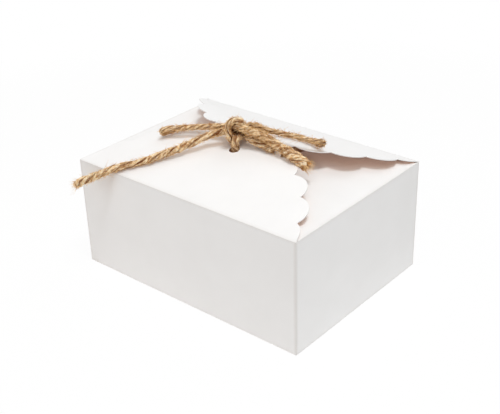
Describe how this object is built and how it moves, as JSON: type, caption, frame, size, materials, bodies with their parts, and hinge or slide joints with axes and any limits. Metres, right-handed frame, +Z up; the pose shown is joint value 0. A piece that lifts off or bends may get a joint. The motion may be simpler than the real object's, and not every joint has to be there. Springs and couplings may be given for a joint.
{
  "type": "cake box",
  "caption": "White folding cake box with scalloped flaps that lap at the top, tied shut with a jute twine bow.",
  "frame": {"origin": "centre of the base, on the surface the box stands on", "axes": "+X along the long side, to the right of the front wall; +Y from the front wall to the back wall; +Z up"},
  "size_m": [0.18, 0.1436, 0.1107],
  "materials": {
    "board": "matt white bleached board",
    "twine": "natural three-strand jute"
  },
  "bodies": {
    "carton": {"front_wall": "board", "back_wall": "board", "left_wall": "board", "right_wall": "board", "glue_seam": "board", "base_main_panel": "board", "base_lock_panel": "board", "base_left_panel": "board", "base_right_panel": "board"},
    "back_lid": {"back_flap": "board"},
    "front_lid": {"front_flap": "board"},
    "left_tab": {"left_end_flap": "board"},
    "right_tab": {"right_end_flap": "board"},
    "bow": {"twine_knot": "twine", "twine_left_loop": "twine", "twine_left_tail": "twine", "twine_right_loop": "twine", "twine_right_tail": "twine", "twine_short_end": "twine", "twine_through_flaps": "twine"}
  },
  "joints": [
    {"name": "back_flap_hinge", "type": "hinge", "parent": "carton", "child": "back_lid", "pos_m": [0, 0.06475, 0.07675], "axis": [-1, 0, 0], "range_deg": [0, 180]},
    {"name": "front_flap_hinge", "type": "hinge", "parent": "carton", "child": "front_lid", "pos_m": [0, -0.06475, 0.07675], "axis": [1, 0, 0], "range_deg": [0, 171]},
    {"name": "left_end_flap_hinge", "type": "hinge", "parent": "carton", "child": "left_tab", "pos_m": [-0.08975, 0, 0.07675], "axis": [0, -1, 0], "range_deg": [0, 144]},
    {"name": "right_end_flap_hinge", "type": "hinge", "parent": "carton", "child": "right_tab", "pos_m": [0.08975, 0, 0.07675], "axis": [0, 1, 0], "range_deg": [0, 144]},
    {"name": "twine_lift", "type": "slide", "parent": "carton", "child": "bow", "axis": [0, 0, 1], "range_m": [0, 0.2514], "deforming": ["twine_through_flaps"]}
  ],
  "couplings": [
    {"joint": "front_flap_hinge", "follows": "back_flap_hinge", "ratio": 0.95},
    {"joint": "left_end_flap_hinge", "follows": "back_flap_hinge", "ratio": 0.8},
    {"joint": "right_end_flap_hinge", "follows": "back_flap_hinge", "ratio": 0.8},
    {"joint": "twine_lift", "follows": "back_flap_hinge", "m_per_rad": 0.08}
  ]
}
